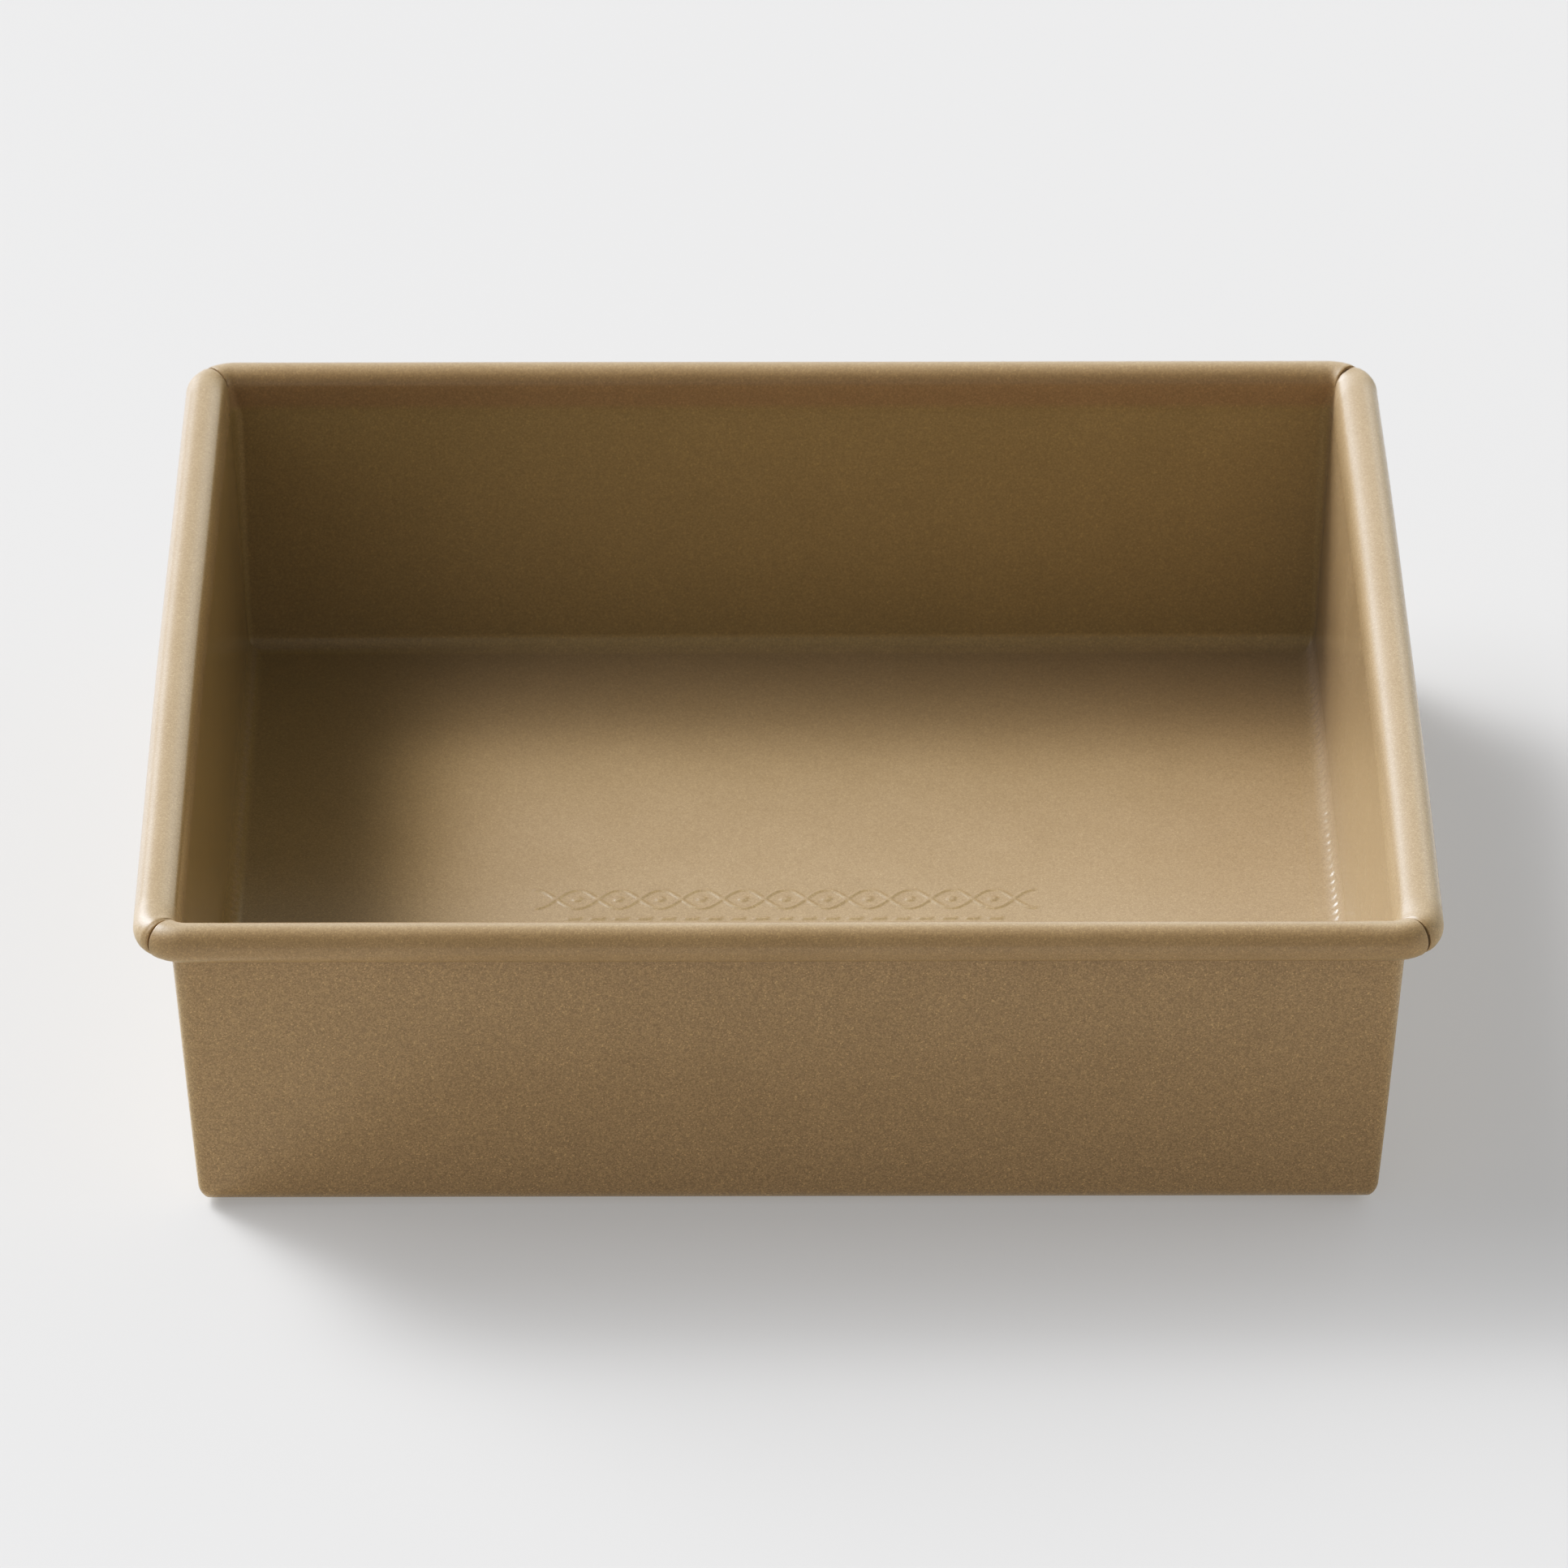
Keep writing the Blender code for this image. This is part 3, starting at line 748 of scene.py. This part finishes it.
def node(nt, kind, **values):
    n = nt.nodes.new(kind)
    for k, v in values.items():
        if k in n.inputs:
            n.inputs[k].default_value = v
        else:
            setattr(n, k, v)
    return n


def math_node(nt, op, a, b=None, c=None, clamp=False):
    n = nt.nodes.new("ShaderNodeMath")
    n.operation = op
    n.use_clamp = clamp
    for i, v in enumerate((a, b, c)):
        if v is None:
            continue
        if isinstance(v, (int, float)):
            n.inputs[i].default_value = v
        else:
            nt.links.new(v, n.inputs[i])
    return n.outputs[0]


def mix_color(nt, fac, a, b, blend="MIX"):
    n = nt.nodes.new("ShaderNodeMix")
    n.data_type = "RGBA"
    n.blend_type = blend
    for sock, v in ((n.inputs["Factor"], fac), (n.inputs["A"], a), (n.inputs["B"], b)):
        if isinstance(v, (int, float)):
            sock.default_value = v
        elif isinstance(v, tuple):
            sock.default_value = v
        else:
            nt.links.new(v, sock)
    return n.outputs["Result"]


def ramp(nt, fac, stops):
    n = nt.nodes.new("ShaderNodeValToRGB")
    el = n.color_ramp.elements
    while len(el) > len(stops):
        el.remove(el[-1])
    while len(el) < len(stops):
        el.new(0.5)
    for e, (p, c) in zip(el, stops):
        e.position = p
        e.color = c
    nt.links.new(fac, n.inputs["Fac"])
    return n.outputs["Color"]


def coating():
    """Satin pearl coating on steel: fine flake under a clear skin (its glints partly painted into the colour), faint
    mottle, orange peel, and the painted light and shade of the mesh's tint.
    """
    m, nt = new_material("gold_beige_coating")
    out = node(nt, "ShaderNodeOutputMaterial")
    bsdf = node(nt, "ShaderNodeBsdfPrincipled")
    nt.links.new(bsdf.outputs[0], out.inputs["Surface"])
    coord = node(nt, "ShaderNodeTexCoord").outputs["Object"]
    inside = node(nt, "ShaderNodeAttribute", attribute_name="inner").outputs["Fac"]
    # Flakes: one random value per cell of about 0.23 mm, painted into the base colour as lighter and darker specks,
    # with rare bright specks as painted glints of tilted flakes.
    flake = node(nt, "ShaderNodeTexVoronoi", Scale=5000.0, Randomness=1.0)
    nt.links.new(coord, flake.inputs["Vector"])
    sep = node(nt, "ShaderNodeSeparateColor")
    nt.links.new(flake.outputs["Color"], sep.inputs[0])
    rnd, rnd2, rnd3 = sep.outputs[0], sep.outputs[1], sep.outputs[2]
    depth = math_node(nt, "MULTIPLY_ADD", inside, -0.15, 0.39)
    flake_tone_and_glint = math_node(nt, "MULTIPLY_ADD", math_node(nt, "SUBTRACT", rnd, 0.5), depth, 1.0)
    # Painted glint: rare flakes are made brighter in the base colour.
    painted_flake_glint = math_node(nt, "MULTIPLY", math_node(nt, "GREATER_THAN", rnd3, 0.93), math_node(nt, "MULTIPLY", depth, 0.75))
    flake_tone_and_glint = math_node(nt, "ADD", flake_tone_and_glint, painted_flake_glint)
    # Soft mottle of the sprayed film.
    mottle = node(nt, "ShaderNodeTexNoise", Scale=60.0, Detail=6.0, Roughness=0.62)
    nt.links.new(coord, mottle.inputs["Vector"])
    fine = node(nt, "ShaderNodeTexNoise", Scale=900.0, Detail=3.0, Roughness=0.6)
    nt.links.new(coord, fine.inputs["Vector"])
    tone = math_node(nt, "MULTIPLY_ADD", math_node(nt, "SUBTRACT", mottle.outputs["Fac"], 0.5), 0.10, 1.0)
    tone = math_node(nt, "MULTIPLY", tone, math_node(nt, "MULTIPLY_ADD", math_node(nt, "SUBTRACT", fine.outputs["Fac"], 0.5), 0.05, 1.0))
    tone = math_node(nt, "MULTIPLY", tone, flake_tone_and_glint)
    film = mix_color(nt, mottle.outputs["Fac"], BASE_A, BASE_B)
    # Painted light and shade: the mesh's tint attribute multiplies the film's colour.
    painted_light_colour = node(nt, "ShaderNodeAttribute", attribute_name="painted_light_tint").outputs["Color"]
    film = mix_color(nt, 1.0, film, painted_light_colour, "MULTIPLY")
    shade = node(nt, "ShaderNodeVectorMath", operation="SCALE")
    nt.links.new(film, shade.inputs[0])
    nt.links.new(tone, shade.inputs["Scale"])
    nt.links.new(shade.outputs[0], bsdf.inputs["Base Color"])
    bsdf.inputs["Specular IOR Level"].default_value = 0.0
    rough = math_node(nt, "MULTIPLY_ADD", rnd2, 0.12, 0.44)
    nt.links.new(rough, bsdf.inputs["Roughness"])
    bsdf.inputs["Coat Weight"].default_value = COAT
    worn = math_node(nt, "MULTIPLY_ADD", mottle.outputs["Fac"], 0.08, COAT_ROUGH - 0.04)
    gathered = node(nt, "ShaderNodeAttribute", attribute_name="gather").outputs["Fac"]
    worn = math_node(nt, "MULTIPLY_ADD", gathered, 0.22, worn)
    nt.links.new(worn, bsdf.inputs["Coat Roughness"])
    # Orange peel and flake tilt.
    peel = node(nt, "ShaderNodeTexNoise", Scale=700.0, Detail=2.0, Roughness=0.5)
    nt.links.new(coord, peel.inputs["Vector"])
    height = math_node(nt, "MULTIPLY_ADD", rnd, 0.30, peel.outputs["Fac"])
    bump = node(nt, "ShaderNodeBump", Strength=0.35, Distance=0.00003)
    nt.links.new(height, bump.inputs["Height"])
    nt.links.new(bump.outputs[0], bsdf.inputs["Normal"])
    skin = node(nt, "ShaderNodeBump", Strength=0.35, Distance=0.000012)
    nt.links.new(peel.outputs["Fac"], skin.inputs["Height"])
    nt.links.new(skin.outputs[0], bsdf.inputs["Coat Normal"])
    return m


def wire_steel():
    m, nt = new_material("drawn_wire_steel")
    out = node(nt, "ShaderNodeOutputMaterial")
    bsdf = node(nt, "ShaderNodeBsdfPrincipled")
    nt.links.new(bsdf.outputs[0], out.inputs["Surface"])
    coord = node(nt, "ShaderNodeTexCoord").outputs["Object"]
    grain = node(nt, "ShaderNodeTexNoise", Scale=900.0, Detail=4.0, Roughness=0.6)
    nt.links.new(coord, grain.inputs["Vector"])
    stain = node(nt, "ShaderNodeTexNoise", Scale=70.0, Detail=3.0)
    nt.links.new(coord, stain.inputs["Vector"])
    base = ramp(nt, grain.outputs["Fac"], [(0.3, (0.13, 0.12, 0.105, 1)), (0.7, (0.24, 0.23, 0.215, 1))])
    tone = ramp(nt, stain.outputs["Fac"], [(0.35, (0.75, 0.70, 0.62, 1)), (0.65, (1, 1, 1, 1))])
    base = mix_color(nt, 1.0, base, tone, "MULTIPLY")
    nt.links.new(base, bsdf.inputs["Base Color"])
    bsdf.inputs["Metallic"].default_value = 1.0
    nt.links.new(math_node(nt, "MULTIPLY_ADD", grain.outputs["Fac"], 0.25, 0.28), bsdf.inputs["Roughness"])
    bump = node(nt, "ShaderNodeBump", Strength=0.4, Distance=0.00003)
    nt.links.new(grain.outputs["Fac"], bump.inputs["Height"])
    nt.links.new(bump.outputs[0], bsdf.inputs["Normal"])
    return m


pan.data.materials.append(coating())
wire.data.materials.append(wire_steel())
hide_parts("pan_body")
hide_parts("rim_wire")
for piece in (pan, wire):
    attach(piece, "root")

# ------------------------------------------------------------------ stage
floor_mesh = bpy.data.meshes.new("stage_floor")
half = 6.0
floor_mesh.from_pydata([(-half, -half, 0), (half, -half, 0), (half, half, 0), (-half, half, 0)], [], [(0, 1, 2, 3)])
floor = bpy.data.objects.new("stage_floor", floor_mesh)
floor.location.z = cad_box[0][2] - 0.0002
bpy.context.scene.collection.objects.link(floor)
fm, nt = new_material("stage_pale")
out = node(nt, "ShaderNodeOutputMaterial")
bsdf = node(nt, "ShaderNodeBsdfPrincipled", Roughness=0.6)
bsdf.inputs["Base Color"].default_value = (0.42, 0.42, 0.423, 1)
bsdf.inputs["Specular IOR Level"].default_value = 0.2
bsdf.inputs["Emission Color"].default_value = (1.0, 1.0, 1.004, 1)
bsdf.inputs["Emission Strength"].default_value = 0.234
nt.links.new(bsdf.outputs[0], out.inputs["Surface"])
floor.data.materials.append(fm)

world = bpy.data.worlds.new("studio")
bpy.context.scene.world = world
world.use_nodes = True
nt = world.node_tree
nt.nodes.clear()
wout = node(nt, "ShaderNodeOutputWorld")
bg = node(nt, "ShaderNodeBackground")
nt.links.new(bg.outputs[0], wout.inputs["Surface"])
toward = node(nt, "ShaderNodeTexCoord").outputs["Generated"]
# Soft sources seen from the pan: azimuth from +X towards +Y and elevation in
# degrees, tightness, strength. A big softbox behind the left corner, a window
# low behind it, a card on the left, and weak low fill.
SOURCES = [
    (139, 44, 120, 18.6), (128, 44, 120, 19.4), (128, 36, 120, 5.1), (150, 52, 120, 8.8),
    (135, 22, 45, 15.8), (110, 22, 45, 0.23), (70, 22, 45, 0.6), (175, 50, 45, 4.85),
    (0, 10, 5, 1.085), (60, 10, 5, 0.73), (240, 10, 5, 0.71), (270, 40, 5, 0.03),
]
total = None
for az, el, tight, strength in SOURCES:
    az, el = math.radians(az), math.radians(el)
    dot = node(nt, "ShaderNodeVectorMath", operation="DOT_PRODUCT")
    nt.links.new(toward, dot.inputs[0])
    dot.inputs[1].default_value = (math.cos(el) * math.cos(az), math.cos(el) * math.sin(az), math.sin(el))
    lobe = math_node(nt, "EXPONENT", math_node(nt, "MULTIPLY_ADD", dot.outputs["Value"], float(tight), -float(tight)))
    total = math_node(nt, "MULTIPLY_ADD", lobe, float(strength), 0.0 if total is None else total)
nt.links.new(total, bg.inputs["Strength"])
bg.inputs["Color"].default_value = (1.0, 1.0, 1.0, 1)

# ------------------------------------------------------------------ camera
ELEV, YAW, ROLL = math.radians(28.265), math.radians(-0.375), math.radians(0.080)
DIST = 1.8301
aim = Vector((-0.00018, 0.0, 0.02569))
back_dir = Vector((math.sin(YAW) * math.cos(ELEV), -math.cos(YAW) * math.cos(ELEV), math.sin(ELEV)))
right = (-back_dir).cross(Vector((0, 0, 1))).normalized()
up = right.cross(-back_dir)
c, s = math.cos(ROLL), math.sin(ROLL)
right, up = c * right + s * up, -s * right + c * up
cam_data = bpy.data.cameras.new("camera")
cam_data.sensor_width = 36.0
cam_data.lens = 12956.0 / 1932.0 * 36.0
cam_data.clip_start = 0.05
cam_data.dof.use_dof = True
cam_data.dof.focus_distance = 1.765
cam_data.dof.aperture_fstop = 80.0
cam = bpy.data.objects.new("camera", cam_data)
rot = Matrix((right, up, back_dir)).transposed()
cam.matrix_world = Matrix.Translation(aim + back_dir * DIST) @ rot.to_4x4()
bpy.context.scene.collection.objects.link(cam)
bpy.context.scene.camera = cam
view = bpy.context.scene.view_settings
view.view_transform = "Standard"
view.look = "None"


def display_to_light(u):
    return u / 12.92 if u <= 0.04045 else ((u + 0.055) / 1.055) ** 2.4


# The camera's own mild contrast: shadows a little deeper, lights a little brighter.
CONTRAST = 0.3
view.use_curve_mapping = True
tone = view.curve_mapping.curves[3]
for u in (0.08, 0.16, 0.24, 0.32, 0.40, 0.48, 0.56, 0.64, 0.72, 0.80, 0.88, 0.95):
    v = u - CONTRAST * math.sin(2 * math.pi * u) / (2 * math.pi)
    tone.points.new(display_to_light(u), display_to_light(v))
view.curve_mapping.update()
